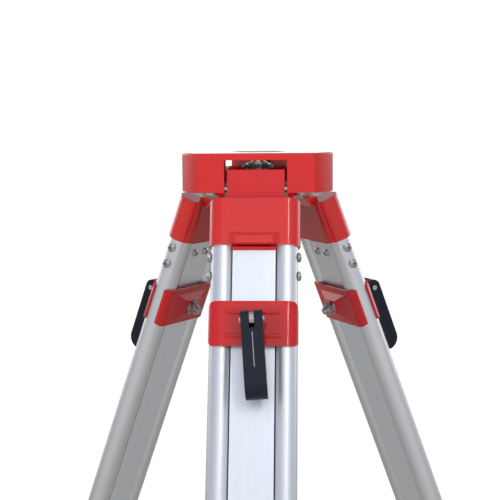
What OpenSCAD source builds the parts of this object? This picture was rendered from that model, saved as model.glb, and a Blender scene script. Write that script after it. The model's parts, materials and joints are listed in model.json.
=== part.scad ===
// Aluminium surveyor tripod with three telescopic quick-clamp legs.
// Units are millimetres. The origin is the centre of the top face of the head, +Z is up,
// and the front leg points along -Y. The legs stand spread, pushed in and clamped.
//
// Every leg is drawn in its own leg frame: the hinge axis is the Y axis, X points outward
// across the leg, and Z points back up along it, so a distance "down" the leg is negative Z.

/* [Legs] */
// Angle of each leg from the vertical, degrees
lean = 22; // [14:1:30]
// Distance of the hinge axis from the centre line of the tripod
hinge_r = 44; // [43:0.5:48]
// Depth of the hinge axis below the top face of the head
hinge_drop = 39.5; // [38:0.5:42]
// Distance of the tube centres outside the hinge axis
rail_off = 15; // [14:0.5:17]
// Outside diameter of a leg tube
tube_d = 25; // [24:0.5:26]
// Wall thickness of a leg tube
tube_wall = 1.5; // [1.2:0.1:2]
// Distance between the centres of the two tubes of a leg
tube_gap = 66; // [64:0.5:68]
// Distance down the leg from the hinge to the lower end of the tubes
tube_end = 770; // [600:5:900]
// Distance down the leg from the hinge to the tip of the spike
leg_reach = 1010; // [900:5:1200]

/* [Head] */
// Radius of the round parts of the head
head_r = 86; // [84:0.5:90]
// Distance from the centre to each of the three flats
flat_r = 59; // [58:0.5:62]
// Depth of the skirt
skirt_h = 42.3; // [41:0.5:46]
// Thickness of the top plate
plate_t = 7; // [6:0.5:8]
// Wall thickness of the skirt
skirt_wall = 5; // [4:0.5:6]
// Diameter of the centre opening
opening_d = 64; // [60:1:66]
// Width of the notch that a leg hangs in
notch_w = 67.2; // [66:0.2:70]

/* [Clamp] */
// Distance down the leg from the hinge to the clamp bolt
clamp_at = 152.6; // [140:0.2:200]
// Height of the clamp plates along the leg
clamp_h = 46.5; // [46:0.5:56]
// Thickness of the pressed clamp plates
sheet = 2.2; // [1.8:0.1:2.5]
// Length of the lever from its pin to its end
lever_len = 79.5; // [70:0.5:100]
// Width of the lever
lever_w = 22; // [20:0.5:24]
// Sideways set of the front lever, degrees
lever_set = 4.5; // [0:0.5:5]

/* [Fixing screw] */
// Major diameter of the fixing thread, 5/8 inch
screw_d = 15.875; // [15.5:0.005:16]
// Distance of the swing arm's pivot from the centre
pivot_r = 42; // [41:0.5:43]
// Diameter of the hand knob
knob_d = 38; // [36:1:39]

/* [Hidden] */
$fn = 64;
LEGS = ["front", "left", "right"];
LEG_AZ = [-90, 150, 30];
LEG_SET = [lever_set, 0, 0];
HEAD_NODES = ["head", "hinge_bolts", "hinge_nuts", "swing_arm", "arm_pivot", "slide_bush",
    "retaining_clip", "fixing_screw", "knob"];
LEG_NODES = ["bracket", "tube_a", "tube_b", "tube_screws", "lower_bracket", "rail", "rail_cap",
    "cap_screws", "clamp_front", "clamp_back", "eye_bolt", "clamp_nut", "lever", "lever_pin",
    "foot", "spike", "foot_bolts"];

RED = [0.80, 0.10, 0.10];
ALU = [0.80, 0.81, 0.84];
PANEL = [0.90, 0.92, 0.95];
STEEL = [0.62, 0.63, 0.65];
BLACK = [0.10, 0.11, 0.13];

hair = 0.01;                    // lets one cut run past another surface
rim_round = 2;                  // rounding of the head's rim
notch_lip = 0.5;                // how far the top of a notch lies under the plate
tube_r = tube_d / 2;
bore_r = tube_r - tube_wall;
tube_y = tube_gap / 2;

// hinge
lug_t = 7.4;                    // thickness of a head lug
lug_r = 10.6;                   // half width of a lug, reaching a little into the wall
lug_y = notch_w / 2;            // inner face of a lug
bolt_d = 10;                    // M10 hinge bolt
bolt_af = 17;
washer_t = 2;
lock_t = 2.6;
hex_h = 7.5;
nyloc_h = 10;
bolt_tip = 4;

// hinge bracket
socket_r = tube_r + 2.5;
neck_w = 61.4;
neck_front = 17.4;              // top edge of the neck's front face, outside the hinge axis
neck_root = 7;                  // the same face where it runs into the body
neck_top = 16.4;                // top of the neck, above the hinge axis
barrel_r = 12;
shoulder = 19;                  // distance down the leg to the top of the body
bracket_end = 69;               // distance down the leg to the lower edge of the body
tube_top = 30;                  // upper end of the tubes, inside the body
spigot_end = 112;               // lower end of the spigots inside the tubes
shoulder_round = 4;
spigot_bore_r = 8;
pad_h = 12.5;
pad_t = 4.5;                    // how far the pad stands out, and the run of its slopes
pad_w = 53;

// screws
tube_screws_at = [80, 100];
low_screw_at = tube_end - 20;
pan_d = 10;
pan_h = 3.4;
pan_shank = 5;
pan_len = 14;
cap_pan_d = 8.6;
cap_pan_h = 2.8;
cap_shank = 4;
cap_screw_at = 86.5;
cap_screw_y = 10;
cap_len = 9;

// sliding rail
rail_w = 47;
rail_t = 17;
rail_wall = 1.5;
rail_gap = 0.5;                 // running clearance round the tubes
cap_top = 70;
cap_t = 4.3;
rail_top = cap_top + cap_t;
rail_end = leg_reach - 105;
bolt_clear = 8.8;

// clamp
wrap_r = tube_r + 0.3;          // inner radius of the wings, clear of the tubes
wing_angle = 60;                // how far the wings reach round the tubes
plate_x = wrap_r + sheet;       // outer face of a plate, from the tube centres
rise_h = 6;                     // height of the pyramid on the back plate
bead_up = 11.5;                 // distance of the beads above and below the clamp bolt
bead_down = 13;
bead_r = 2.6;
bead_h = 1.7;
bead_y = 26;
clamp_round = 6;
eye_x = 34;                     // lever pin, outside the tube centres
eye_r = 7;
eye_w = 5;
pin_d = 6;
m8 = 8;
m8_af = 13;
m8_washer_r = 8.5;
m8_washer_t = 1.6;
m8_nyloc = 8;
m8_tip = 3;

// lever
cam_r = 11;
cam_in = 7.6;                   // cam centre, inside the pin and a little below it
cam_down = 1.4;
knuckle_r = 9;                  // rounding of the outer top corner
lever_in = 6.5;                 // inner face of the handle, inside the pin
lever_out = 8.5;                // outer face of the handle, outside the pin
lever_end_r = 14;
slot_w = 5.6;
slot_below = 10;

// lower bracket, foot and spike
low_t = 24;
foot_top = rail_end - 32;
foot_sock_w = 54;
foot_sock_t = 28;
foot_neck = leg_reach - 42;
spike_r = 8;
spike_shank = 26;
pedal_reach = 40;
pedal_w = 38;
pedal_t = 7;
foot_bolt_d = 6;
foot_bolt_y = 13;

// swing arm and fixing screw
arm_top = -14;
arm_t = 3;
arm_w = 34;
arm_end_r = 9.5;
pivot_d = 8;
screw_throw = 15;               // travel of the bush each way along the arm
bush_bore = screw_d / 2 + 0.08;
bush_body = 10.4;
bush_flange = 14;
bush_flange_t = 1.6;
clip_r = 10.4;
clip_t = 1.2;
groove_r = screw_d / 2 - 1;
groove_play = 0.1;              // axial and radial play of the clip in its groove
thread_top = -1.2;
screw_lift = 18;                // rise of the screw until the knob's neck meets the bush
neck_r = 11;
knob_top = -60;
knob_h = 40;

// One leg frame: rail centres lie in the plane x = rail_off.
module on_leg(i) {
    rotate([0, 0, LEG_AZ[i]])
        translate([hinge_r, 0, -hinge_drop])
            rotate([0, -lean, 0])
                children();
}

// Turns a leg-frame outline drawn as (y, z) into a solid from x = x0 to x1.
module across(x0, x1) {
    translate([x0, 0, 0])
        rotate([90, 0, 90])
            linear_extrude(height = x1 - x0)
                children();
}

// Turns a leg-frame outline drawn as (x, z) into a solid of width w, centred on the leg.
module sideways(w) {
    translate([0, w / 2, 0])
        rotate([90, 0, 0])
            linear_extrude(height = w)
                children();
}

// Turns a leg-frame outline drawn as (x, y) into a solid between two distances down the leg.
module along(a0, a1) {
    translate([0, 0, -a1])
        linear_extrude(height = a1 - a0)
            children();
}

// A rod along the Y axis from y0 to y1.
module y_rod(r, y0, y1) {
    translate([0, y0, 0])
        rotate([-90, 0, 0])
            cylinder(r = r, h = y1 - y0);
}

// A rod along the X axis from x0 to x1.
module x_rod(r, x0, x1) {
    translate([x0, 0, 0])
        rotate([0, 90, 0])
            cylinder(r = r, h = x1 - x0);
}

// A ring along the Y axis.
module y_ring(r_out, r_in, y0, y1) {
    difference() {
        y_rod(r_out, y0, y1);
        y_rod(r_in, y0 - hair, y1 + hair);
    }
}

// Rectangle with rounded corners, centred.
module round_rect(w, h, r) {
    union() {
        square([w - 2 * r, h], center = true);
        square([w, h - 2 * r], center = true);
        for (sx = [-1, 1])
            for (sy = [-1, 1])
                translate([sx * (w / 2 - r), sy * (h / 2 - r)])
                    circle(r = r);
    }
}

// Hexagonal prism across flats af, along Z.
module hex(af, h) {
    cylinder(d = af / cos(30), h = h, $fn = 6);
}

// Self-locking nut along +Z with its collar on top.
module nyloc(af, bore, h) {
    difference() {
        union() {
            intersection() {
                hex(af, h * 0.72);
                cylinder(r1 = af * 0.545, r2 = af * 0.60, h = h * 0.72);
            }
            translate([0, 0, h * 0.72])
                cylinder(r = af * 0.44, h = h * 0.28);
        }
        translate([0, 0, -hair])
            cylinder(d = bore, h = h + 2 * hair);
    }
}

// Pan-head cross-recess screw: head on +Z, shank below.
module pan_screw(d_head, h_head, d_shank, length) {
    crown = h_head * 0.45;
    slot = d_head * 0.14;
    difference() {
        union() {
            cylinder(d = d_head, h = h_head - crown);
            translate([0, 0, h_head - crown])
                cylinder(d1 = d_head, d2 = d_head * 0.62, h = crown);
            translate([0, 0, -length])
                cylinder(d = d_shank, h = length + hair);
        }
        for (turn = [0, 90])
            rotate([0, 0, turn])
                translate([-d_head * 0.27, -slot / 2, h_head * 0.35])
                    cube([d_head * 0.54, slot, h_head]);
    }
}

// ---------------------------------------------------------------- head

// Outline of the head: a round plate with three flats, inset by the given amount.
module head_outline(inset) {
    difference() {
        circle(r = head_r - inset, $fn = 128);
        for (az = LEG_AZ)
            rotate([0, 0, az])
                translate([flat_r - inset, -head_r])
                    square([head_r, 2 * head_r]);
    }
}

// Bar across a leg's place that the notch cuts into two lugs, with the bolt hole through it.
module head_lugs() {
    half = lug_y + lug_t;
    translate([hinge_r, 0, -hinge_drop])
        difference() {
            union() {
                translate([-lug_r, -half, 0])
                    cube([2 * lug_r, 2 * half, hinge_drop - plate_t + 1]);
                y_rod(lug_r, -half, half);
            }
            y_rod(bolt_d / 2, -half - 1, half + 1);
        }
}

// Section of the head from x = x0 to its edge at the given radius, with the rim rounded.
module rim_section(x0, radius) {
    union() {
        translate([x0, -skirt_h])
            square([radius - rim_round - x0, skirt_h]);
        translate([x0, -skirt_h])
            square([radius - x0, skirt_h - rim_round]);
        translate([radius - rim_round, -rim_round])
            circle(r = rim_round);
    }
}

// Solid block of the head: a round plate cut by three flats, all with a rounded rim.
module head_block() {
    intersection() {
        rotate_extrude($fn = 128)
            rim_section(0, head_r);
        intersection_for (az = LEG_AZ)
            rotate([0, 0, az])
                translate([0, head_r + 1, 0])
                    rotate([90, 0, 0])
                        linear_extrude(height = 2 * head_r + 2)
                            rim_section(-head_r - 1, flat_r);
    }
}

module head() {
    rib_t = 5;
    color(RED)
    difference() {
        union() {
            difference() {
                head_block();
                translate([0, 0, -skirt_h - 1])
                    linear_extrude(height = skirt_h - plate_t + 1)
                        head_outline(skirt_wall);
            }
            for (az = LEG_AZ)
                rotate([0, 0, az])
                    head_lugs();
            // ribs into two corners, and the boss that the swing arm turns on
            for (az = [-30, 210])
                rotate([0, 0, az])
                    translate([opening_d / 2 + 14, -rib_t / 2, -26])
                        cube([head_r - skirt_wall - opening_d / 2 - 12, rib_t, 26 - plate_t + 1]);
            translate([0, pivot_r, arm_top + 0.3])
                cylinder(r = 8, h = -plate_t - arm_top + 0.7);
        }
        for (az = LEG_AZ)
            rotate([0, 0, az])
                translate([hinge_r - lug_r - 1, -lug_y, -2 * hinge_drop])
                    cube([head_r, 2 * lug_y, 2 * hinge_drop - plate_t - notch_lip]);
        translate([0, 0, -plate_t - 1])
            cylinder(d = opening_d, h = plate_t + 2, $fn = 96);
        translate([0, pivot_r, arm_top - 1])
            cylinder(d = pivot_d, h = 12);
    }
}

module hinge_bolts() {
    seat = lug_y + lug_t + washer_t + lock_t;
    tip = lug_y + lug_t + washer_t + nyloc_h + bolt_tip;
    color(STEEL)
    for (i = [0 : 2])
        on_leg(i)
            union() {
                y_rod(bolt_d / 2, -seat - hair, tip);
                translate([0, -seat - hex_h, 0])
                    rotate([-90, 0, 0])
                        intersection() {
                            hex(bolt_af, hex_h);
                            cylinder(r1 = bolt_af * 0.54, r2 = bolt_af * 0.60, h = hex_h);
                        }
            }
}

// Nuts on one side; a flat washer each side and a lock washer under the bolt head.
module hinge_nuts() {
    face = lug_y + lug_t;
    color(STEEL)
    for (i = [0 : 2])
        on_leg(i) {
            translate([0, face + washer_t, 0])
                rotate([-90, 0, 0])
                    nyloc(bolt_af, bolt_d, nyloc_h);
            y_ring(10, bolt_d / 2, face, face + washer_t);
            y_ring(10, bolt_d / 2, -face - washer_t, -face);
            y_ring(8.8, bolt_d / 2, -face - washer_t - lock_t, -face - washer_t);
        }
}

// ---------------------------------------------------------------- fixing screw

module swing_arm() {
    far = pivot_r + screw_throw;
    near = pivot_r - screw_throw;
    slot_r = bush_body + 0.1;
    color(BLACK)
    translate([0, pivot_r, arm_top - arm_t])
        difference() {
            union() {
                cylinder(r = arm_end_r, h = arm_t);
                translate([0, -far, 0])
                    cylinder(d = arm_w, h = arm_t);
                linear_extrude(height = arm_t)
                    polygon([[-arm_end_r, 0], [arm_end_r, 0], [arm_w / 2, -near],
                        [arm_w / 2, -far], [-arm_w / 2, -far], [-arm_w / 2, -near]]);
            }
            translate([0, 0, -1])
                cylinder(d = pivot_d + 0.16, h = arm_t + 2);
            for (y = [-near, -far])
                translate([0, y, -1])
                    cylinder(r = slot_r, h = arm_t + 2);
            translate([-slot_r, -far, -1])
                cube([2 * slot_r, far - near, arm_t + 2]);
        }
}

// Shoulder screw that the swing arm turns on.
module arm_pivot() {
    color(STEEL)
    translate([0, pivot_r, 0])
        union() {
            translate([0, 0, arm_top - arm_t - 0.3])
                cylinder(d = pivot_d, h = arm_t + 0.3 + 9);
            translate([0, 0, arm_top - arm_t - 5.3])
                hex(13, 5);
        }
}

module slide_bush() {
    color(STEEL)
    difference() {
        union() {
            translate([0, 0, arm_top + 0.1])
                cylinder(r = bush_flange, h = bush_flange_t);
            translate([0, 0, arm_top - arm_t - 2])
                cylinder(r = bush_body, h = arm_t + 2.1 + hair);
            translate([0, 0, arm_top - arm_t - 2])
                cylinder(r = bush_flange - 0.6, h = 1.9);
        }
        translate([0, 0, arm_top - arm_t - 3])
            cylinder(r = bush_bore, h = 12);
    }
}

// Clip in a groove of the screw, resting on the bush so the screw cannot drop out.
module retaining_clip() {
    color(STEEL)
    translate([0, 0, arm_top + 0.1 + bush_flange_t + 0.1])
        difference() {
            cylinder(r = clip_r, h = clip_t);
            translate([0, 0, -hair])
                cylinder(r = groove_r + 0.08, h = clip_t + 2 * hair);
        }
}

module fixing_screw() {
    groove_z = arm_top + 0.2 + bush_flange_t;
    color([0.78, 0.63, 0.32])
    difference() {
        union() {
            translate([0, 0, knob_top - knob_h + 8])
                cylinder(d = screw_d, h = thread_top - 1.5 - knob_top + knob_h - 8);
            translate([0, 0, thread_top - 1.5 - hair])
                cylinder(d1 = screw_d, d2 = screw_d - 3, h = 1.5 + hair);
        }
        translate([0, 0, groove_z - groove_play])
            difference() {
                cylinder(d = screw_d + 2, h = clip_t + 2 * groove_play);
                translate([0, 0, -hair])
                    cylinder(r = groove_r, h = clip_t + 2 * groove_play + 2 * hair);
            }
        // bore for the line of a plumb bob
        translate([0, 0, knob_top - knob_h - 1])
            cylinder(d = 7, h = 70);
    }
}

module knob() {
    lobes = 8;
    neck_top_z = arm_top - arm_t - 2 - screw_lift - 0.3;
    color(BLACK)
    difference() {
        union() {
            translate([0, 0, knob_top - knob_h])
                cylinder(d = knob_d, h = knob_h - 6);
            translate([0, 0, knob_top - 6 - hair])
                cylinder(d1 = knob_d, d2 = 26, h = 6 + hair);
            translate([0, 0, knob_top - 1])
                cylinder(r = neck_r, h = neck_top_z - knob_top + 1);
        }
        for (k = [0 : lobes - 1])
            rotate([0, 0, k * 360 / lobes])
                translate([knob_d / 2 + 2.5, 0, knob_top - knob_h - 1])
                    cylinder(r = 5, h = knob_h + 2);
        translate([0, 0, knob_top - knob_h + 8])
            cylinder(d = screw_d, h = 2 * knob_h);
        translate([0, 0, knob_top - knob_h - 1])
            cylinder(d = 12, h = knob_h / 2);
    }
}

// ---------------------------------------------------------------- upper leg

// Cross-section shared by the bracket body and the lower bracket.
module stadium(r) {
    for (side = [-1, 1])
        translate([rail_off, side * tube_y])
            circle(r = r);
    translate([rail_off - r, -tube_y])
        square([2 * r, 2 * tube_y]);
}

// Holes for the screws that hold one tube, at the given distances down the leg.
module tube_screw_holes(places) {
    for (side = [-1, 1])
        for (a = places)
            translate([rail_off, side * (tube_y + tube_r + 1), -a])
                rotate([side * 90, 0, 0])
                    cylinder(d = pan_shank, h = pan_len + 1);
}

// Raised pad at the lower edge of the bracket, with sloping sides and top.
module pad() {
    base = rail_off + socket_r;
    face_w = pad_w - 3 * pad_t;
    intersection() {
        along(bracket_end - pad_h, bracket_end)
            polygon([[base - 1, -pad_w / 2], [base, -pad_w / 2], [base + pad_t, -face_w / 2],
                [base + pad_t, face_w / 2], [base, pad_w / 2], [base - 1, pad_w / 2]]);
        sideways(pad_w + 2)
            polygon([[base - 2, -bracket_end - 1], [base + pad_t + 1, -bracket_end - 1],
                [base + pad_t + 1, -bracket_end + pad_h - pad_t - 1],
                [base - 2, -bracket_end + pad_h + 2]]);
    }
}

module bracket() {
    body_w = tube_gap + 2 * socket_r;
    body_h = bracket_end - shoulder;
    color(RED)
    difference() {
        union() {
            // neck that hangs on the hinge bolt
            sideways(neck_w)
                union() {
                    circle(r = barrel_r);
                    polygon([[neck_front, neck_top], [5, neck_top], [-8.5, 8.5], [-barrel_r, 0],
                        [-10.4, -6], [-2, -shoulder - 4], [neck_root, -shoulder - 4]]);
                }
            // body with its two rounded shoulders
            difference() {
                intersection() {
                    along(shoulder, bracket_end)
                        stadium(socket_r);
                    across(-socket_r, rail_off + 2 * socket_r)
                        union() {
                            translate([0, -(shoulder + bracket_end) / 2])
                                round_rect(body_w, body_h, shoulder_round);
                            translate([-body_w / 2, -bracket_end])
                                square([body_w, body_h / 2]);
                        }
                }
                // sockets that the tubes stand in, and the hollow between them
                for (side = [-1, 1])
                    translate([rail_off, side * tube_y, -bracket_end - 1])
                        cylinder(r = tube_r, h = bracket_end - tube_top + 1);
                translate([rail_off - 11.5, -16.5, -bracket_end - 1])
                    cube([23, 33, bracket_end - tube_top]);
            }
            // hollow spigots inside the tubes
            for (side = [-1, 1])
                translate([rail_off, side * tube_y, -spigot_end])
                    difference() {
                        cylinder(r = bore_r, h = spigot_end - tube_top + 1);
                        translate([0, 0, -1])
                            cylinder(r = spigot_bore_r, h = spigot_end - tube_top);
                    }
            pad();
        }
        y_rod(bolt_d / 2 + 0.05, -neck_w, neck_w);
        tube_screw_holes(tube_screws_at);
    }
}

module tube(side) {
    color(ALU)
    difference() {
        translate([rail_off, side * tube_y, -tube_end])
            cylinder(r = tube_r, h = tube_end - tube_top);
        translate([rail_off, side * tube_y, -tube_end - 1])
            cylinder(r = bore_r, h = tube_end - tube_top + 2);
        for (a = concat(tube_screws_at, [low_screw_at]))
            translate([rail_off, side * (tube_y + tube_r + 1), -a])
                rotate([side * 90, 0, 0])
                    cylinder(d = pan_shank, h = tube_r);
    }
}

module tube_screws() {
    color(STEEL)
    for (side = [-1, 1])
        for (a = concat(tube_screws_at, [low_screw_at]))
            translate([rail_off, side * (tube_y + tube_r), -a])
                rotate([-side * 90, 0, 0])
                    pan_screw(pan_d, pan_h, pan_shank, pan_len);
}

// Outline of the sliding rail, grown by the given amount.
module rail_outline(grow) {
    difference() {
        translate([rail_off - rail_t / 2 - grow, -rail_w / 2 - grow])
            square([rail_t + 2 * grow, rail_w + 2 * grow]);
        for (side = [-1, 1])
            translate([rail_off, side * tube_y])
                circle(r = tube_r + rail_gap - grow);
    }
}

// Casting that closes the lower ends of the tubes and guides the rail.
module lower_bracket() {
    color(RED)
    difference() {
        union() {
            along(tube_end, tube_end + low_t)
                stadium(socket_r);
            for (side = [-1, 1])
                translate([rail_off, side * tube_y, -tube_end - 1])
                    difference() {
                        cylinder(r = bore_r, h = 46);
                        translate([0, 0, 4])
                            cylinder(r = spigot_bore_r, h = 46);
                    }
        }
        along(tube_end - 1, tube_end + low_t + 1)
            rail_outline(0.4);
        tube_screw_holes([low_screw_at]);
    }
}

// ---------------------------------------------------------------- sliding leg

module rail() {
    color(PANEL)
    difference() {
        along(rail_top, rail_end)
            difference() {
                rail_outline(0);
                rail_outline(-rail_wall);
            }
        translate([rail_off, 0, -clamp_at])
            x_rod(bolt_clear / 2, -rail_t, rail_t);
        for (side = [-1, 1]) {
            translate([rail_off, side * cap_screw_y, -cap_screw_at])
                x_rod(cap_shank / 2, -rail_t, 0);
            translate([rail_off, side * foot_bolt_y, -(foot_top + 16)])
                x_rod(foot_bolt_d / 2, -rail_t, rail_t);
        }
    }
}

module rail_cap() {
    plug = 22;
    color(RED)
    difference() {
        union() {
            along(cap_top, rail_top)
                rail_outline(0);
            along(rail_top - hair, rail_top + plug)
                rail_outline(-rail_wall - 0.1);
        }
        for (side = [-1, 1])
            translate([rail_off, side * cap_screw_y, -cap_screw_at])
                x_rod(cap_shank / 2, -rail_t, -rail_t / 2 + cap_len);
    }
}

module cap_screws() {
    color(STEEL)
    for (side = [-1, 1])
        translate([rail_off - rail_t / 2, side * cap_screw_y, -cap_screw_at])
            rotate([0, -90, 0])
                pan_screw(cap_pan_d, cap_pan_h, cap_shank, cap_len);
}

// Part of a circular ring round one tube, from straight outward to wing_angle.
module wing_2d(side) {
    difference() {
        circle(r = plate_x);
        circle(r = wrap_r);
        translate([-2 * plate_x, -2 * plate_x])
            square([2 * plate_x, 4 * plate_x]);
        rotate([0, 0, side * wing_angle])
            translate([-2 * plate_x, side > 0 ? 0 : -4 * plate_x])
                square([4 * plate_x, 4 * plate_x]);
        translate([-1, side > 0 ? -2 * plate_x : 0])
            square([2 * plate_x, 2 * plate_x]);
    }
}

// Cross-section of a clamp plate: two wings and the flat between them, facing +X.
module plate_2d() {
    for (side = [-1, 1])
        translate([0, side * tube_y])
            wing_2d(side);
    translate([wrap_r, -tube_y])
        square([sheet, tube_gap]);
}

// Raised centre of the back plate: an outline along the leg crossed with one across it.
module rise() {
    base = plate_x - sheet - hair;
    top = plate_x + rise_h;
    intersection() {
        translate([0, 0, -clamp_at])
            sideways(tube_gap)
                polygon([[base, 16], [plate_x, 16], [top, 9], [top, -9], [plate_x, -16],
                    [base, -16]]);
        along(clamp_at - clamp_h, clamp_at + clamp_h)
            polygon([[base, -26], [plate_x, -26], [top, -10], [top, 10], [plate_x, 26],
                [base, 26]]);
    }
}

// Clamp plate without its pressed relief, drawn facing +X about the tube centres.
module flat_plate() {
    width = tube_gap + 2 * plate_x * sin(wing_angle) + 0.02;
    intersection() {
        along(clamp_at - clamp_h / 2, clamp_at + clamp_h / 2)
            plate_2d();
        across(0, 2 * plate_x)
            translate([0, -clamp_at])
                round_rect(width, clamp_h, clamp_round);
    }
}

// Hole for the clamp bolt.
module clamp_hole() {
    translate([0, 0, -clamp_at])
        x_rod(bolt_clear / 2, 0, 3 * plate_x);
}

// Pressed bead across the front plate, with round ends.
module bead() {
    intersection() {
        translate([plate_x + bead_h - bead_r, 0, 0])
            union() {
                y_rod(bead_r, -bead_y, bead_y);
                for (side = [-1, 1])
                    translate([0, side * bead_y, 0])
                        sphere(r = bead_r);
            }
        translate([plate_x - sheet / 2, -tube_y, -sheet * 2])
            cube([2 * sheet, tube_gap, sheet * 4]);
    }
}

// Front plate: two beads run across it, above and below the clamp bolt.
module clamp_front() {
    color(RED)
    translate([rail_off, 0, 0])
        difference() {
            union() {
                flat_plate();
                for (a = [clamp_at - bead_up, clamp_at + bead_down])
                    translate([0, 0, -a])
                        bead();
            }
            clamp_hole();
        }
}

// Back plate: its centre is drawn out into a blunt pyramid that carries the nut.
module clamp_back() {
    color(RED)
    translate([rail_off, 0, 0])
        mirror([1, 0, 0])
            difference() {
                union() {
                    flat_plate();
                    rise();
                }
                translate([-sheet, 0, 0])
                    rise();
                clamp_hole();
            }
}

// Eye bolt of the clamp, from the nut behind the back plate to the eye in the lever.
module eye_bolt() {
    back = -plate_x - rise_h;
    tip = back - m8_washer_t - m8_nyloc - m8_tip;
    color(STEEL)
    translate([rail_off, 0, -clamp_at])
        difference() {
            union() {
                x_rod(m8 / 2, tip, plate_x - 0.1);
                // flat tongue that runs into the slot of the lever
                translate([plate_x - 3, -eye_w / 2, -2.6])
                    cube([eye_x - plate_x + 3, eye_w, 5.2]);
                translate([eye_x, 0, 0])
                    y_rod(eye_r, -eye_w / 2, eye_w / 2);
            }
            translate([eye_x, 0, 0])
                y_rod(pin_d / 2 + 0.05, -eye_w, eye_w);
        }
}

module clamp_nut() {
    back = -plate_x - rise_h;
    color(STEEL)
    translate([rail_off + back, 0, -clamp_at])
        rotate([0, -90, 0])
            union() {
                difference() {
                    cylinder(r = m8_washer_r, h = m8_washer_t + hair);
                    translate([0, 0, -hair])
                        cylinder(d = m8, h = m8_washer_t + 3 * hair);
                }
                translate([0, 0, m8_washer_t])
                    nyloc(m8_af, m8, m8_nyloc);
            }
}

// Cam lever, drawn shut: the handle hangs down the leg from its pin.
module lever() {
    pin_x = rail_off + eye_x;
    color(BLACK)
    translate([pin_x, 0, -clamp_at])
        difference() {
            sideways(lever_w)
                union() {
                    translate([-cam_in, -cam_down])
                        circle(r = cam_r);
                    translate([lever_out - knuckle_r, cam_r - cam_down - knuckle_r])
                        circle(r = knuckle_r);
                    difference() {
                        translate([-lever_in, -lever_len])
                            square([lever_out + lever_in, lever_len + 1.5]);
                        difference() {
                            translate([lever_out - lever_end_r, -lever_len - 1])
                                square([lever_end_r + 1, lever_end_r + 1]);
                            translate([lever_out - lever_end_r, -lever_len + lever_end_r])
                                circle(r = lever_end_r);
                        }
                    }
                }
            // slot that the eye and the bolt swing through
            translate([-2 * cam_r, -slot_w / 2, -slot_below])
                cube([4 * cam_r, slot_w, slot_below + 2 * cam_r]);
            // hollow underside of the handle
            translate([-lever_in - 1, -lever_w / 2 + 3, -lever_len + 9])
                cube([lever_in + lever_out - 4, lever_w - 6, lever_len - 9 - cam_r - 8]);
            y_rod(pin_d / 2, -lever_w, lever_w);
        }
}

module lever_pin() {
    half = lever_w / 2 + 1.8;
    color(STEEL)
    translate([rail_off + eye_x, 0, -clamp_at])
        y_rod(pin_d / 2, -half, half);
}

// ---------------------------------------------------------------- foot

// Cast shoe: a socket round the rail, a shank for the spike and a pedal to tread on.
module foot() {
    shank_r = spike_r + 4;
    color(RED)
    difference() {
        union() {
            along(foot_top, rail_end + 8)
                translate([rail_off, 0])
                    round_rect(foot_sock_t, foot_sock_w, 7);
            // sloping flanks from the socket down to the spike shank
            sideways(foot_sock_t - 7)
                polygon([[rail_off - foot_sock_t / 2, -rail_end - 7],
                    [rail_off + foot_sock_t / 2, -rail_end - 7],
                    [rail_off + shank_r, -foot_neck + 14], [rail_off + shank_r, -foot_neck],
                    [rail_off - shank_r, -foot_neck], [rail_off - shank_r, -foot_neck + 14]]);
            across(rail_off - 6, rail_off + 6)
                polygon([[-foot_sock_w / 2 + 1, -rail_end - 7], [foot_sock_w / 2 - 1, -rail_end - 7],
                    [shank_r, -foot_neck + 14], [shank_r, -foot_neck],
                    [-shank_r, -foot_neck], [-shank_r, -foot_neck + 14]]);
            translate([rail_off, 0, -foot_neck])
                cylinder(r = shank_r, h = foot_neck - rail_end - 7);
            // pedal
            translate([rail_off, -pedal_w / 2, -rail_end - 18 - pedal_t])
                cube([foot_sock_t / 2 + pedal_reach - pedal_w / 2, pedal_w, pedal_t]);
            translate([rail_off + foot_sock_t / 2 + pedal_reach - pedal_w / 2, 0,
                -rail_end - 18 - pedal_t])
                cylinder(d = pedal_w, h = pedal_t);
            // web under the pedal
            sideways(7)
                polygon([[rail_off, -rail_end - 18 - pedal_t + 1],
                    [rail_off + foot_sock_t / 2 + pedal_reach - 14, -rail_end - 18 - pedal_t + 1],
                    [rail_off, -foot_neck + 6]]);
        }
        along(foot_top - 1, rail_end)
            rail_outline(0);
        for (side = [-1, 1])
            translate([rail_off, side * foot_bolt_y, -(foot_top + 16)])
                x_rod(foot_bolt_d / 2, -foot_sock_t, foot_sock_t);
        translate([rail_off, 0, -foot_neck - 1])
            cylinder(r = spike_r, h = spike_shank + 1);
    }
}

module spike() {
    color(STEEL)
    translate([rail_off, 0, 0])
        union() {
            translate([0, 0, -foot_neck - 6])
                cylinder(r = spike_r, h = spike_shank + 6);
            translate([0, 0, -leg_reach])
                cylinder(r1 = 1.2, r2 = spike_r, h = leg_reach - foot_neck - 6 + hair);
        }
}

module foot_bolts() {
    half = foot_sock_t / 2;
    color(STEEL)
    for (side = [-1, 1])
        translate([rail_off, side * foot_bolt_y, -(foot_top + 16)])
            union() {
                x_rod(foot_bolt_d / 2, -half - 2, half + hair);
                translate([half, 0, 0])
                    x_rod(5.2, 0, 3);
                translate([-half - 5, 0, 0])
                    rotate([0, 90, 0])
                        hex(10, 5);
            }
}

// ---------------------------------------------------------------- assembly

// Turns the front lever and its eye bolt by their sideways set.
module set_lever(i) {
    translate([0, 0, -clamp_at])
        rotate([LEG_SET[i], 0, 0])
            translate([0, 0, clamp_at])
                children();
}

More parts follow.
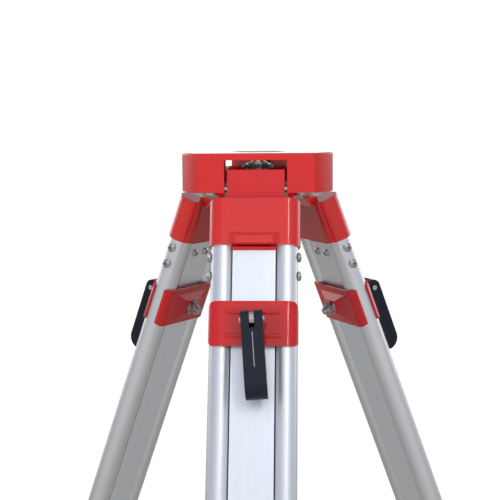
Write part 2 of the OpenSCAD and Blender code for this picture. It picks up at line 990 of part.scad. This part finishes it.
module leg_node(i, name) {
    on_leg(i)
        if (name == "bracket") bracket();
        else if (name == "tube_a") tube(-1);
        else if (name == "tube_b") tube(1);
        else if (name == "tube_screws") tube_screws();
        else if (name == "lower_bracket") lower_bracket();
        else if (name == "rail") rail();
        else if (name == "rail_cap") rail_cap();
        else if (name == "cap_screws") cap_screws();
        else if (name == "clamp_front") clamp_front();
        else if (name == "clamp_back") clamp_back();
        else if (name == "eye_bolt") set_lever(i) eye_bolt();
        else if (name == "clamp_nut") clamp_nut();
        else if (name == "lever") set_lever(i) lever();
        else if (name == "lever_pin") set_lever(i) lever_pin();
        else if (name == "foot") foot();
        else if (name == "spike") spike();
        else if (name == "foot_bolts") foot_bolts();
}

head();
hinge_bolts();
hinge_nuts();
swing_arm();
arm_pivot();
slide_bush();
retaining_clip();
fixing_screw();
knob();
for (i = [0 : 2])
    for (name = LEG_NODES)
        leg_node(i, name);
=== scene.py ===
"""Surveyor tripod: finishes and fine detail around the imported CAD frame.

Units are metres. Pieces of a leg are drawn in that leg's own frame: the hinge axis is the Y axis,
X points outward across the leg and Z points back up along it, so that the grain of a finish runs
along the leg.
"""

import json
import math

import bmesh
import bpy
from mathutils import Matrix, Vector


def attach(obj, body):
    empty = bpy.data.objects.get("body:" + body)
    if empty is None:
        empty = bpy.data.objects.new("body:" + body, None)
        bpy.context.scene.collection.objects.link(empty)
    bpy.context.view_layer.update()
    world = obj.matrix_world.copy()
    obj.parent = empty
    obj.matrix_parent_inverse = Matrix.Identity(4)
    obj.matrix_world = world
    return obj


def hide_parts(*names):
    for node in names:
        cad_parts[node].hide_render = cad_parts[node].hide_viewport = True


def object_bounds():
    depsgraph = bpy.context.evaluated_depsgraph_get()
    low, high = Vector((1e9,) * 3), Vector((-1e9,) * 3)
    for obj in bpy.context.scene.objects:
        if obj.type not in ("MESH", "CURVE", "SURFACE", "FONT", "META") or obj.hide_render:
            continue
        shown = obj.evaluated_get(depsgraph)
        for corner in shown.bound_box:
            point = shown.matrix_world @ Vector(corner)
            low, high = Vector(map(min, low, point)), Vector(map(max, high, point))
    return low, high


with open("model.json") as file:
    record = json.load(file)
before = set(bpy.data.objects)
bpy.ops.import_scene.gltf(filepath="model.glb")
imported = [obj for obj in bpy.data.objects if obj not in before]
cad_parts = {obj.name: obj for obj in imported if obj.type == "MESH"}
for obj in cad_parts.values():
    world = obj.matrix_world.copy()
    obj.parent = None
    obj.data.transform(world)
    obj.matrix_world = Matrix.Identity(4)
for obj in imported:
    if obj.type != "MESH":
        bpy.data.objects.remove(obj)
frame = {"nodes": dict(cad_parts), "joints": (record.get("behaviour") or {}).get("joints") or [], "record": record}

CAD_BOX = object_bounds()
NODES = frame["nodes"]
JOINTS = {joint["name"]: joint for joint in frame["joints"]}
BODY_OF = {
    node: body
    for body, nodes in frame["record"]["behaviour"]["bodies"].items()
    for node in nodes
}
SLOT_OF = {part["node"]: part["material_slot"] for part in frame["record"]["subparts"]}
LEGS = ("front", "left", "right")
MM = 0.001
# Colour of the painted shade laid into narrow grooves and joins between parts.
GROOVE_SHADE_COLOUR = (0.02, 0.02, 0.02)
RAIL_SHARE = 0.965  # the drawn rail's share of the CAD rail's width: a running gap by each tube


# ---------------------------------------------------------------- node helpers


def new_material(name):
    """An empty material with a Principled shader; returns (material, tree, shader)."""
    material = bpy.data.materials.new(name)
    material.use_nodes = True
    tree = material.node_tree
    return material, tree, tree.nodes["Principled BSDF"]


def coordinates(tree, stretch=(1, 1, 1)):
    """Object coordinates, scaled along each axis."""
    source = tree.nodes.new("ShaderNodeTexCoord")
    mapping = tree.nodes.new("ShaderNodeMapping")
    mapping.inputs["Scale"].default_value = stretch
    tree.links.new(source.outputs["Object"], mapping.inputs["Vector"])
    return mapping.outputs["Vector"]


def noise(tree, size, detail=2.0, stretch=(1, 1, 1)):
    """Noise with features of the given size in metres; returns its height."""
    node = tree.nodes.new("ShaderNodeTexNoise")
    node.inputs["Scale"].default_value = 1 / size
    node.inputs["Detail"].default_value = detail
    tree.links.new(coordinates(tree, stretch), node.inputs["Vector"])
    return node.outputs["Fac"]


def spread(tree, value, low, high, start=0.3, end=0.7):
    """Maps a noise value from start..end to low..high."""
    node = tree.nodes.new("ShaderNodeMapRange")
    node.inputs["From Min"].default_value = start
    node.inputs["From Max"].default_value = end
    node.inputs["To Min"].default_value = low
    node.inputs["To Max"].default_value = high
    tree.links.new(value, node.inputs["Value"])
    return node.outputs["Result"]


def blend_colours(tree, value, first, second):
    """Mixes two colours by a value."""
    node = tree.nodes.new("ShaderNodeMix")
    node.data_type = "RGBA"
    node.inputs["A"].default_value = (*first, 1)
    node.inputs["B"].default_value = (*second, 1)
    tree.links.new(value, node.inputs["Factor"])
    return node.outputs["Result"]


def bump(tree, height, depth, strength=1.0, under=None):
    """Bump of the given depth in metres, over another bump if there is one."""
    node = tree.nodes.new("ShaderNodeBump")
    node.inputs["Strength"].default_value = strength
    node.inputs["Distance"].default_value = depth
    tree.links.new(height, node.inputs["Height"])
    if under is not None:
        tree.links.new(under, node.inputs["Normal"])
    return node.outputs["Normal"]


def painted_groove_shade(tree, colour, reach):
    """Painted shade: darkens a colour in narrow grooves and where parts meet, by how hemmed in an occlusion node
    finds the surface.
    """
    groove = tree.nodes.new("ShaderNodeAmbientOcclusion")
    groove.inputs["Distance"].default_value = reach
    groove.samples = 8
    node = tree.nodes.new("ShaderNodeMix")
    node.data_type = "RGBA"
    node.inputs["A"].default_value = (*GROOVE_SHADE_COLOUR, 1)
    tree.links.new(colour, node.inputs["B"])
    tree.links.new(spread(tree, groove.outputs["AO"], 0, 1, 0.2, 0.5), node.inputs["Factor"])
    return node.outputs["Result"]


def shade(colour, factor):
    """A colour made lighter or darker."""
    return tuple(channel * factor for channel in colour)


def compass(azimuth, elevation):
    """Unit vector at an azimuth from the row's +X and an elevation, in degrees."""
    turn = math.radians(azimuth)
    rise = math.radians(elevation)
    return Vector(
        (math.cos(turn) * math.cos(rise), math.sin(turn) * math.cos(rise), math.sin(rise))
    )


# ---------------------------------------------------------------- materials


def enamel(name, colour, coat=0.8):
    """Glossy paint on cast or pressed metal: faint orange peel, slight unevenness, fine dust."""
    material, tree, shader = new_material(name)
    patches = spread(tree, noise(tree, 18 * MM, 3), 0, 1)
    tint = blend_colours(tree, patches, shade(colour, 0.96), shade(colour, 1.03))
    tree.links.new(tint, shader.inputs["Base Color"])
    tree.links.new(spread(tree, noise(tree, 5 * MM, 3), 0.30, 0.38), shader.inputs["Roughness"])
    peel = bump(tree, noise(tree, 2.4 * MM, 1), 0.03 * MM, 0.35)
    tree.links.new(peel, shader.inputs["Normal"])
    shader.inputs["Specular IOR Level"].default_value = 0.3
    shader.inputs["Coat Weight"].default_value = coat
    shader.inputs["Coat Roughness"].default_value = 0.07
    return material


def pressed(name, colour):
    """Thicker, glossier paint on a pressed plate, with the waviness of the sheet under it."""
    material, tree, shader = new_material(name)
    patches = spread(tree, noise(tree, 14 * MM, 3), 0, 1)
    tint = blend_colours(tree, patches, shade(colour, 0.94), shade(colour, 1.04))
    tree.links.new(tint, shader.inputs["Base Color"])
    tree.links.new(spread(tree, noise(tree, 4 * MM, 3), 0.16, 0.24), shader.inputs["Roughness"])
    waves = bump(tree, noise(tree, 3.5 * MM, 2, stretch=(1, 1, 0.7)), 0.22 * MM, 0.8)
    peel = bump(tree, noise(tree, 1.1 * MM, 1), 0.02 * MM, 0.4, under=waves)
    tree.links.new(peel, shader.inputs["Normal"])
    shader.inputs["Specular IOR Level"].default_value = 0.35
    shader.inputs["Coat Weight"].default_value = 0.5
    shader.inputs["Coat Roughness"].default_value = 0.05
    tree.links.new(peel, shader.inputs["Coat Normal"])
    return material


def anodised(name, colour, rough=0.33):
    """Drawn aluminium under clear anodising: fine die lines along the leg and a soft sheen."""
    material, tree, shader = new_material(name)
    lines = noise(tree, 0.45 * MM, 3, stretch=(1, 1, 0.004))
    bands = noise(tree, 5 * MM, 2, stretch=(1, 1, 0.01))
    tint = blend_colours(
        tree, spread(tree, bands, 0, 1), shade(colour, 0.98), shade(colour, 1.015)
    )
    # painted shade: the occlusion node darkens the metal in the groove by each tube and in other tight joins
    tree.links.new(painted_groove_shade(tree, tint, 4 * MM), shader.inputs["Base Color"])
    tree.links.new(spread(tree, lines, rough - 0.02, rough + 0.03), shader.inputs["Roughness"])
    drawn = bump(tree, lines, 0.006 * MM, 0.5)
    tree.links.new(bump(tree, noise(tree, 0.3 * MM, 2), 0.004 * MM, 0.4, under=drawn),
        shader.inputs["Normal"])
    shader.inputs["Metallic"].default_value = 1
    return material


def machined(name, colour):
    """Faced-off aluminium: turning rings about the head's centre."""
    material, tree, shader = new_material(name)
    rings = tree.nodes.new("ShaderNodeTexWave")
    rings.wave_type = "RINGS"
    rings.rings_direction = "Z"
    rings.inputs["Scale"].default_value = 180
    rings.inputs["Distortion"].default_value = 0.6
    rings.inputs["Detail"].default_value = 3
    tree.links.new(coordinates(tree), rings.inputs["Vector"])
    scuffs = noise(tree, 9 * MM, 5)
    tint = blend_colours(tree, spread(tree, scuffs, 0, 1), shade(colour, 0.92), colour)
    tree.links.new(tint, shader.inputs["Base Color"])
    tree.links.new(spread(tree, rings.outputs["Fac"], 0.24, 0.36, 0, 1), shader.inputs["Roughness"])
    tree.links.new(bump(tree, rings.outputs["Fac"], 0.02 * MM, 0.5), shader.inputs["Normal"])
    shader.inputs["Metallic"].default_value = 1
    return material


def plated(name, colour, rough=0.24):
    """Zinc-plated or turned metal: cloudy tint, small pits and handling marks."""
    material, tree, shader = new_material(name)
    clouds = spread(tree, noise(tree, 6 * MM, 4), 0, 1)
    tint = blend_colours(tree, clouds, shade(colour, 0.84), shade(colour, 1.08))
    tree.links.new(tint, shader.inputs["Base Color"])
    tree.links.new(spread(tree, noise(tree, 1.5 * MM, 4), rough - 0.06, rough + 0.12),
        shader.inputs["Roughness"])
    tree.links.new(bump(tree, noise(tree, 0.6 * MM, 3), 0.02 * MM, 0.4), shader.inputs["Normal"])
    shader.inputs["Metallic"].default_value = 1
    return material


def moulded(name, colour, rough=0.45, grain=0.35 * MM, specular=0.5):
    """Moulded plastic with a fine spark-eroded grain."""
    material, tree, shader = new_material(name)
    patches = spread(tree, noise(tree, 7 * MM, 3), 0, 1)
    tint = blend_colours(tree, patches, shade(colour, 0.88), shade(colour, 1.1))
    tree.links.new(tint, shader.inputs["Base Color"])
    tree.links.new(spread(tree, noise(tree, 3 * MM, 3), rough - 0.05, rough + 0.08),
        shader.inputs["Roughness"])
    tree.links.new(bump(tree, noise(tree, grain, 2), 0.03 * MM, 0.5), shader.inputs["Normal"])
    shader.inputs["Specular IOR Level"].default_value = specular
    return material


RED = (0.58, 0.007, 0.007)
FINISH = {
    "red_paint": enamel("red enamel", RED),
    "red_plastic": moulded("red plastic", (0.52, 0.02, 0.02), 0.4),
    "aluminium": anodised("anodised tube", (0.84, 0.85, 0.88), 0.44),
    "zinc_steel": plated("zinc plate", (0.50, 0.50, 0.495), 0.15),
    # Black paint on the swing arm; its black also stands in for the shade seen through the notch under the head.
    "arm_steel": enamel("black enamel", (0.022, 0.022, 0.026), 0.2),
    "spike_steel": plated("turned steel", (0.42, 0.43, 0.45), 0.34),
    "brass": plated("brass", (0.80, 0.60, 0.30), 0.22),
    "lever_black": moulded("black nylon", (0.006, 0.008, 0.018), 0.38, specular=0.27),
    "black_plastic": moulded("black plastic", (0.022, 0.022, 0.026), 0.5),
}
PLATE_FINISH = pressed("red enamel on plate", (0.52, 0.003, 0.007))
# Light grey nylon for the lever's rib: a painted highlight standing for the bright line that the rib catches.
RIB_HIGHLIGHT_NYLON = moulded("nylon painted with rib highlight", (0.30, 0.31, 0.35), 0.25)
PANEL_FINISH = anodised("anodised panel", (0.90, 0.94, 1.0), 0.5)
FACED = machined("machined face", (0.88, 0.88, 0.90))


# ---------------------------------------------------------------- mesh helpers


def leg_frame(leg):
    """The leg's own frame, from its hinge and its slide."""
    hinge = JOINTS[f"leg_{leg}_hinge"]
    across = -Vector(hinge["axis"])
    up = -Vector(JOINTS[f"leg_{leg}_slide"]["axis"])
    out = across.cross(up)
    matrix = Matrix((out, across, up)).transposed().to_4x4()
    matrix.translation = Vector(hinge["pos_m"])
    return matrix


LEG_FRAME = {leg: leg_frame(leg) for leg in LEGS}


def place_of(node):
    """The frame that a node's piece is drawn in: its leg's, or the row's."""
    leg = node.rsplit("_", 1)[-1]
    return LEG_FRAME.get(leg, Matrix.Identity(4))


def clean_solid(node):
    """A node's surface as a bmesh in its own frame, seams merged and flat faces joined."""
    solid = bmesh.new()
    solid.from_mesh(NODES[node].data)
    solid.transform(place_of(node).inverted())
    bmesh.ops.remove_doubles(solid, verts=solid.verts, dist=0.002 * MM)
    bmesh.ops.dissolve_limit(
        solid, angle_limit=math.radians(0.6), verts=solid.verts, edges=solid.edges
    )
    return solid


def as_object(name, solid):
    """A smooth-shaded object from a bmesh, without the CAD mesh's stored normals."""
    solid.verts.index_update()
    mesh = bpy.data.meshes.new(name)
    corners = [[vert.index for vert in face.verts] for face in solid.faces]
    mesh.from_pydata([vert.co[:] for vert in solid.verts], [], corners)
    solid.free()
    mesh.shade_smooth()
    piece = bpy.data.objects.new(name, mesh)
    bpy.context.scene.collection.objects.link(piece)
    return piece


def round_edges(piece, width, segments=2, angle=30):
    """Rounds the sharp edges of a piece and keeps its flats looking flat."""
    bevel = piece.modifiers.new("edges", "BEVEL")
    bevel.width = width
    bevel.segments = segments
    bevel.limit_method = "ANGLE"
    bevel.angle_limit = math.radians(angle)
    bevel.use_clamp_overlap = True
    bevel.miter_outer = "MITER_ARC"
    normals = piece.modifiers.new("normals", "WEIGHTED_NORMAL")
    normals.keep_sharp = True


def stand_for(piece, node, *materials):
    """Puts a piece in a node's frame, on its body and in its place."""
    piece.matrix_world = place_of(node)
    for material in materials or (FINISH[SLOT_OF[node]],):
        piece.data.materials.append(material)
    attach(piece, BODY_OF[node])
    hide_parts(node)
    return piece


def softened(node, width, *materials, **options):
    """A finished copy of a node with rounded edges."""
    piece = as_object(f"{node}_piece", clean_solid(node))
    round_edges(piece, width, **options)
    return stand_for(piece, node, *materials)


def local_box(node):
    """Lowest and highest corner of a node in its own frame."""
    to_local = place_of(node).inverted()
    points = [to_local @ vert.co for vert in NODES[node].data.vertices]
    low = Vector(min(point[k] for point in points) for k in range(3))
    high = Vector(max(point[k] for point in points) for k in range(3))
    return low, high


# ---------------------------------------------------------------- head


def head():
    """Rounded copy of the head, its top faced off to bare metal."""
    piece = softened("head", 0.7 * MM, FINISH["red_paint"], FACED)
    opening = 33 * MM
    for face in piece.data.polygons:
        on_top = face.normal.z > 0.999 and face.center.z > -0.1 * MM
        in_bore = face.center.xy.length < opening and face.center.z > -10 * MM
        if on_top or in_bore:
            face.material_index = 1
    return piece


# ---------------------------------------------------------------- legs


def tube(node, steps=96, wall=1.5 * MM):
    """Round tube with open ends, finely stepped so that its reflections run straight."""
    low, high = local_box(node)
    centre = (low + high) / 2
    outer = (high.y - low.y) / 2
    chamfer = 0.3 * MM
    section = [
        (outer - wall, low.z),
        (outer - chamfer, low.z),
        (outer, low.z + chamfer),
        (outer, high.z - chamfer),
        (outer - chamfer, high.z),
        (outer - wall, high.z),
    ]
    solid = bmesh.new()
    rings = []
    for step in range(steps):
        turn = 2 * math.pi * step / steps
        ring = [
            solid.verts.new((centre.x + r * math.cos(turn), centre.y + r * math.sin(turn), z))
            for r, z in section
        ]
        rings.append(ring)
    for step, ring in enumerate(rings):
        after = rings[(step + 1) % steps]
        for k in range(len(section)):
            next_k = (k + 1) % len(section)
            solid.faces.new((ring[k], after[k], after[next_k], ring[next_k]))
    piece = as_object(f"{node}_piece", solid)
    piece.data.set_sharp_from_angle(angle=math.radians(30))
    return stand_for(piece, node)


EDGE = {
    "bracket": 1.0,
    "lower_bracket": 1.0,
    "rail_cap": 0.5,
    "clamp_front": 0.5,
    "clamp_back": 0.5,
    "lever": 1.0,
    "foot": 1.2,
    "clamp_nut": 0.25,
    "eye_bolt": 0.35,
    "rail": 0.5,
    "tube_screws": 0.15,
    "cap_screws": 0.15,
    "foot_bolts": 0.2,
    "lever_pin": 0.2,
    "spike": 0.15,
}


def lever_rib(leg):
    """Fine moulded rib down the middle of the lever's face, below its slot, coloured light grey as a painted
    highlight.
    """
    turn = JOINTS[f"lever_{leg}_turn"]
    across = -Vector(turn["axis"])
    out = LEG_FRAME[leg].to_3x3().col[0]
    place = Matrix((out, across, out.cross(across))).transposed().to_4x4()
    place.translation = Vector(turn["pos_m"])
    face = 8.5 * MM
    sunk = 0.2 * MM
    radius = 0.5 * MM
    top = -14 * MM
    bottom = -49 * MM
    solid = bmesh.new()
    bmesh.ops.create_cone(solid, cap_ends=True, segments=16, radius1=radius, radius2=radius,
        depth=top - bottom)
    piece = as_object(f"lever_rib_{leg}_piece", solid)
    piece.data.set_sharp_from_angle(angle=math.radians(30))
    piece.matrix_world = place @ Matrix.Translation((face - sunk, 0, (top + bottom) / 2))
    node = f"lever_{leg}"
    # the rib's grey is a painted highlight, not the lever's own black
    piece.data.materials.append(RIB_HIGHLIGHT_NYLON)
    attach(piece, BODY_OF[node])


FINISH_OF = {
    "rail": (PANEL_FINISH,),
    "clamp_front": (PLATE_FINISH,),
    "clamp_back": (PLATE_FINISH,),
}


def leg_pieces(leg):
    """Every piece of one leg."""
    for kind in ("tube_a", "tube_b"):
        tube(f"{kind}_{leg}")
    for kind, width in EDGE.items():
        node = f"{kind}_{leg}"
        piece = softened(node, width * MM, *FINISH_OF.get(kind, ()))
        if kind == "rail":
            for vert in piece.data.vertices:
                vert.co.y *= RAIL_SHARE
    lever_rib(leg)


# ---------------------------------------------------------------- stage, lights and camera


def mix_shaders(tree, factor, first, second):
    """Mixes two shader outputs by a value and returns the result."""
    mix = tree.nodes.new("ShaderNodeMixShader")
    tree.links.new(factor, mix.inputs["Fac"])
    tree.links.new(first, mix.inputs[1])
    tree.links.new(second, mix.inputs[2])
    return mix.outputs["Shader"]


def floor():
    """A wide floor under the spikes: white to the eye, a plain grey to light that bounces."""
    low, _ = CAD_BOX
    reach = 40
    solid = bmesh.new()
    bmesh.ops.create_grid(solid, x_segments=1, y_segments=1, size=reach)
    piece = as_object("floor", solid)
    piece.location = (0, 0, low[2])
    material, tree, shader = new_material("studio floor")
    shader.inputs["Roughness"].default_value = 0.9
    shader.inputs["Specular IOR Level"].default_value = 0.1
    shader.inputs["Base Color"].default_value = (0.60, 0.60, 0.60, 1)
    shader.inputs["Emission Color"].default_value = (1, 1, 1, 1)
    shader.inputs["Emission Strength"].default_value = 0.75
    # reflections find it lighter in front of the tripod than behind
    place = tree.nodes.new("ShaderNodeSeparateXYZ")
    tree.links.new(coordinates(tree), place.inputs["Vector"])
    depth = spread(tree, place.outputs["Y"], 0, 1, -1.2, 0.2)
    tone = ramp(tree, depth, (0.0, 0.64, (1, 1, 1)), (1.0, 0.32, (1, 0.98, 0.92)))
    mirrored = tree.nodes.new("ShaderNodeEmission")
    tree.links.new(tone, mirrored.inputs["Color"])
    bounced = tree.nodes.new("ShaderNodeEmission")
    bounced.inputs["Color"].default_value = (0.50, 0.49, 0.48, 1)
    path = tree.nodes.new("ShaderNodeLightPath")
    unseen = mix_shaders(tree, path.outputs["Is Diffuse Ray"], mirrored.outputs["Emission"],
        bounced.outputs["Emission"])
    surface = mix_shaders(tree, path.outputs["Is Camera Ray"], unseen, shader.outputs["BSDF"])
    tree.links.new(surface, tree.nodes["Material Output"].inputs["Surface"])
    piece.data.materials.append(material)


def ramp(tree, value, *stops):
    """A smooth colour ramp over (position, brightness, tint) stops."""
    node = tree.nodes.new("ShaderNodeValToRGB")
    node.color_ramp.interpolation = "EASE"
    elements = node.color_ramp.elements
    while len(elements) < len(stops):
        elements.new(0.5)
    for element, (position, level, tint) in zip(elements, stops):
        element.position = position
        element.color = (*shade(tint, level), 1)
    tree.links.new(value, node.inputs["Fac"])
    return node.outputs["Color"]


def lighter(tree, first, second):
    """The lighter of two colours, channel by channel."""
    node = tree.nodes.new("ShaderNodeMix")
    node.data_type = "RGBA"
    node.blend_type = "LIGHTEN"
    node.inputs["Factor"].default_value = 1
    tree.links.new(first, node.inputs["A"])
    tree.links.new(second, node.inputs["B"])
    return node.outputs["Result"]


def surroundings():
    """White behind the object, and a soft studio room for everything that it reflects."""
    world = bpy.data.worlds.new("studio")
    bpy.context.scene.world = world
    world.use_nodes = True
    tree = world.node_tree
    source = tree.nodes.new("ShaderNodeTexCoord")
    facing = tree.nodes.new("ShaderNodeVectorMath")
    facing.operation = "DOT_PRODUCT"
    facing.inputs[1].default_value = compass(-82, 37)
    tree.links.new(source.outputs["Generated"], facing.inputs[0])
    split = tree.nodes.new("ShaderNodeSeparateXYZ")
    tree.links.new(source.outputs["Generated"], split.inputs["Vector"])

    # a broad bright front, cool grey sides and a pale backdrop low behind
    cool = (0.86, 0.94, 1.10)
    white = (1, 1, 1)
    toward = spread(tree, facing.outputs["Value"], 0, 1, -1, 1)
    front = ramp(tree, toward, (0.0, 0.46, white), (0.5, 0.52, cool), (0.70, 0.58, cool),
        (0.93, 0.66, cool), (0.99, 1.06, white))
    low = spread(tree, split.outputs["Z"], 1, 0, 0.18, 0.34)
    backward = tree.nodes.new("ShaderNodeMath")
    backward.operation = "MULTIPLY"
    tree.links.new(split.outputs["Y"], backward.inputs[0])
    tree.links.new(low, backward.inputs[1])
    behind = ramp(tree, backward.outputs["Value"], (0.0, 0.0, white), (0.5, 1.9, white))
    overhead = ramp(tree, split.outputs["Z"], (0.86, 0.0, white), (0.97, 0.95, white))
    room = lighter(tree, lighter(tree, front, behind), overhead)

    seen = {}
    for use in ("reflected", "diffuse", "backdrop"):
        seen[use] = tree.nodes.new("ShaderNodeBackground")
        seen[use].inputs["Color"].default_value = (1, 1, 1, 1)
    tree.links.new(room, seen["reflected"].inputs["Color"])
    seen["diffuse"].inputs["Strength"].default_value = 0.46
    seen["backdrop"].inputs["Strength"].default_value = 1.1
    path = tree.nodes.new("ShaderNodeLightPath")
    inside = mix_shaders(tree, path.outputs["Is Glossy Ray"],
        seen["diffuse"].outputs["Background"], seen["reflected"].outputs["Background"])
    surface = mix_shaders(tree, path.outputs["Is Camera Ray"], inside,
        seen["backdrop"].outputs["Background"])
    tree.links.new(surface, tree.nodes["World Output"].inputs["Surface"])


def softbox(name, azimuth, elevation, width, height, watts, mirrored):
    """An area light aimed at the clamps. It either lights surfaces or shows in reflections."""
    target = Vector((0, 0, -0.15))
    distance = 2.2
    way = compass(azimuth, elevation)
    light = bpy.data.lights.new(name, "AREA")
    light.shape = "RECTANGLE"
    light.size = width
    light.size_y = height
    light.energy = watts
    lamp = bpy.data.objects.new(name, light)
    lamp.location = target + way * distance
    lamp.rotation_euler = (-way).to_track_quat("-Z", "Y").to_euler()
    lamp.visible_glossy = mirrored
    lamp.visible_diffuse = not mirrored
    bpy.context.scene.collection.objects.link(lamp)


def camera():
    """Close, slightly above the head and a little to the right of the front leg."""
    place = Vector((0.0647, -1.2185, 0.0343))
    roll = math.radians(-0.466)
    forward = compass(93.513, -6.757)
    right = forward.cross(Vector((0, 0, 1))).normalized()
    up = right.cross(forward)
    x_axis = right * math.cos(roll) + up * math.sin(roll)
    y_axis = up * math.cos(roll) - right * math.sin(roll)
    view = bpy.data.cameras.new("camera")
    view.lens = 78.68
    view.sensor_width = 36
    view.clip_end = 200
    eye = bpy.data.objects.new("camera", view)
    matrix = Matrix((x_axis, y_axis, -forward)).transposed().to_4x4()
    matrix.translation = place
    eye.matrix_world = matrix
    bpy.context.scene.collection.objects.link(eye)
    bpy.context.scene.camera = eye


camera()
head()
for node in ("hinge_bolts", "hinge_nuts", "arm_pivot", "swing_arm", "slide_bush",
        "retaining_clip", "fixing_screw", "knob"):
    softened(node, (1.0 if node == "knob" else 0.25) * MM)
for leg in LEGS:
    leg_pieces(leg)
floor()
surroundings()
softbox("key", -66, 8, 1.0, 1.0, 20, mirrored=False)
softbox("fill", -128, 8, 1.0, 1.0, 18, mirrored=False)
softbox("strip", -67, 37, 0.09, 0.9, 5.5, mirrored=True)
bpy.context.scene.view_settings.view_transform = "Standard"
